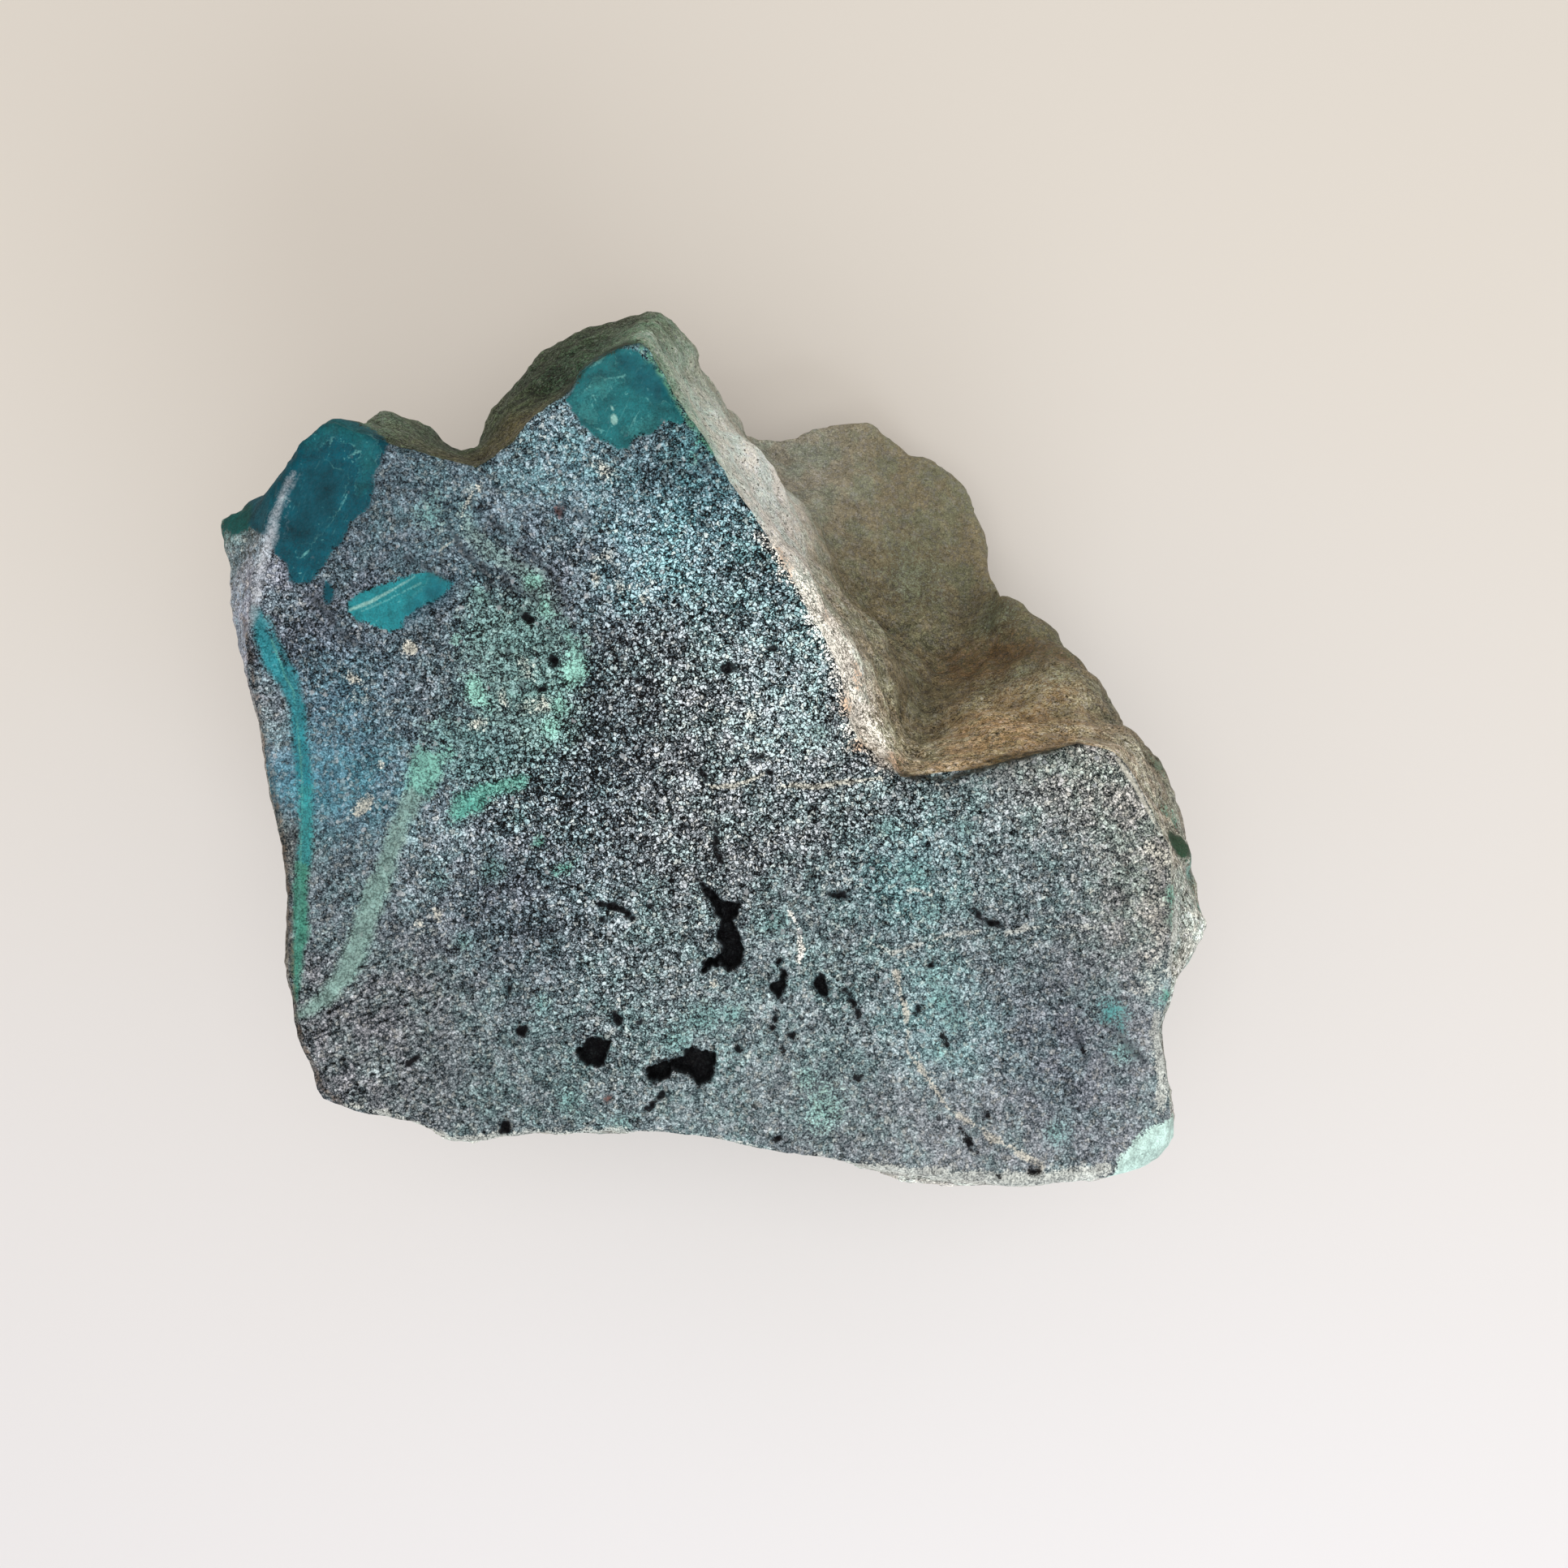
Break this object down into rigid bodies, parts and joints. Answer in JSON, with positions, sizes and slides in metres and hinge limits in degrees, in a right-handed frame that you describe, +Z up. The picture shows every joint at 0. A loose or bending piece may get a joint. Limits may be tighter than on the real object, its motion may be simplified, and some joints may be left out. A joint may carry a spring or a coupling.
{
  "type": "chrysocolla specimen",
  "caption": "Rough chunk of dark copper-bearing rock with blue-green chrysocolla: one flat sawn face, pits, natural fracture sides and a broken-out corner with a low shelf",
  "frame": {"origin": "on the flat facet that the stone rests on, below the middle of its outline", "axes": "+Z up, out of the sawn face; +X along the stone's longer way across, towards the corner opposite the teal lobe; +Y towards the peak"},
  "size_m": [0.071, 0.0653, 0.04],
  "materials": {
    "stone": "satin on the sawn face, matte and sugary on the broken sides"
  },
  "bodies": {
    "root": {"chrysocolla_stone": "stone"}
  },
  "joints": []
}
